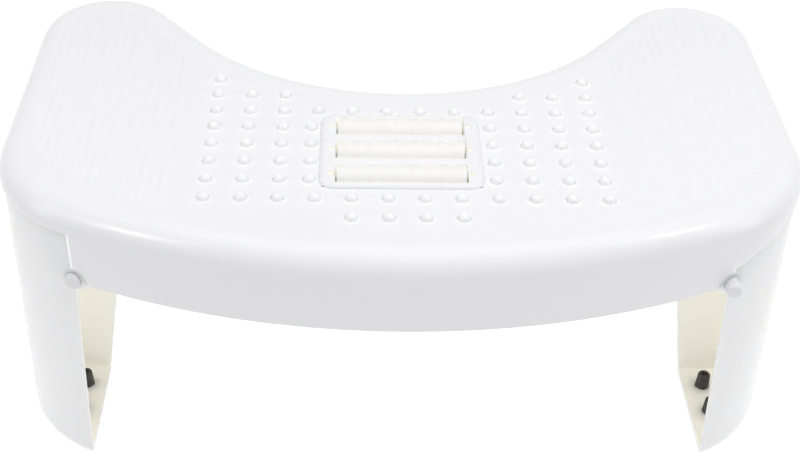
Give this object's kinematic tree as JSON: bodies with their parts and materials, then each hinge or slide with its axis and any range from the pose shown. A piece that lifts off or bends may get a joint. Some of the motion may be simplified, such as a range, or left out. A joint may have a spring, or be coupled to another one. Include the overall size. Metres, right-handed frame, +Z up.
{
  "type": "toilet_footstool",
  "caption": "White plastic toilet footstool that folds flat, with ribbed foot pads, massage nubs, ringed massage rollers and rubber feet",
  "frame": {"origin": "on the floor below the middle of the deck's own outline", "axes": "+X to the user's right along the long side, +Y back towards the toilet, +Z up"},
  "size_m": [0.4252, 0.2554, 0.1815],
  "materials": {
    "white_plastic": "moulded, glossy",
    "roller_plastic": "moulded, satin",
    "dark_rubber": "matt",
    "steel": "drawn wire"
  },
  "bodies": {
    "deck_body": {"deck": "white_plastic", "left_front_pin": "white_plastic", "left_rear_pin": "white_plastic", "right_front_pin": "white_plastic", "right_rear_pin": "white_plastic", "roller_frame": "white_plastic", "rear_axle": "steel", "middle_axle": "steel", "front_axle": "steel"},
    "left_leg_body": {"left_leg": "white_plastic", "left_foot_a": "dark_rubber", "left_foot_b": "dark_rubber", "left_foot_c": "dark_rubber", "left_foot_d": "dark_rubber"},
    "right_leg_body": {"right_leg": "white_plastic", "right_foot_a": "dark_rubber", "right_foot_b": "dark_rubber", "right_foot_c": "dark_rubber", "right_foot_d": "dark_rubber"},
    "rear_roller_body": {"rear_roller": "roller_plastic"},
    "middle_roller_body": {"middle_roller": "roller_plastic"},
    "front_roller_body": {"front_roller": "roller_plastic"}
  },
  "joints": [
    {"name": "left_leg_fold", "type": "hinge", "parent": "deck_body", "child": "left_leg_body", "pos_m": [-0.166, 0, 0.1333], "axis": [0, -1, 0], "range_deg": [0, 90]},
    {"name": "right_leg_fold", "type": "hinge", "parent": "deck_body", "child": "right_leg_body", "pos_m": [0.166, 0, 0.1333], "axis": [0, 1, 0], "range_deg": [0, 90]},
    {"name": "rear_roller_spin", "type": "hinge", "parent": "deck_body", "child": "rear_roller_body", "pos_m": [-0.0022, -0.0176, 0.1741], "axis": [1, 0, 0], "continuous": true},
    {"name": "middle_roller_spin", "type": "hinge", "parent": "deck_body", "child": "middle_roller_body", "pos_m": [-0.0022, -0.0389, 0.1741], "axis": [1, 0, 0], "continuous": true},
    {"name": "front_roller_spin", "type": "hinge", "parent": "deck_body", "child": "front_roller_body", "pos_m": [-0.0022, -0.0602, 0.1741], "axis": [1, 0, 0], "continuous": true}
  ]
}
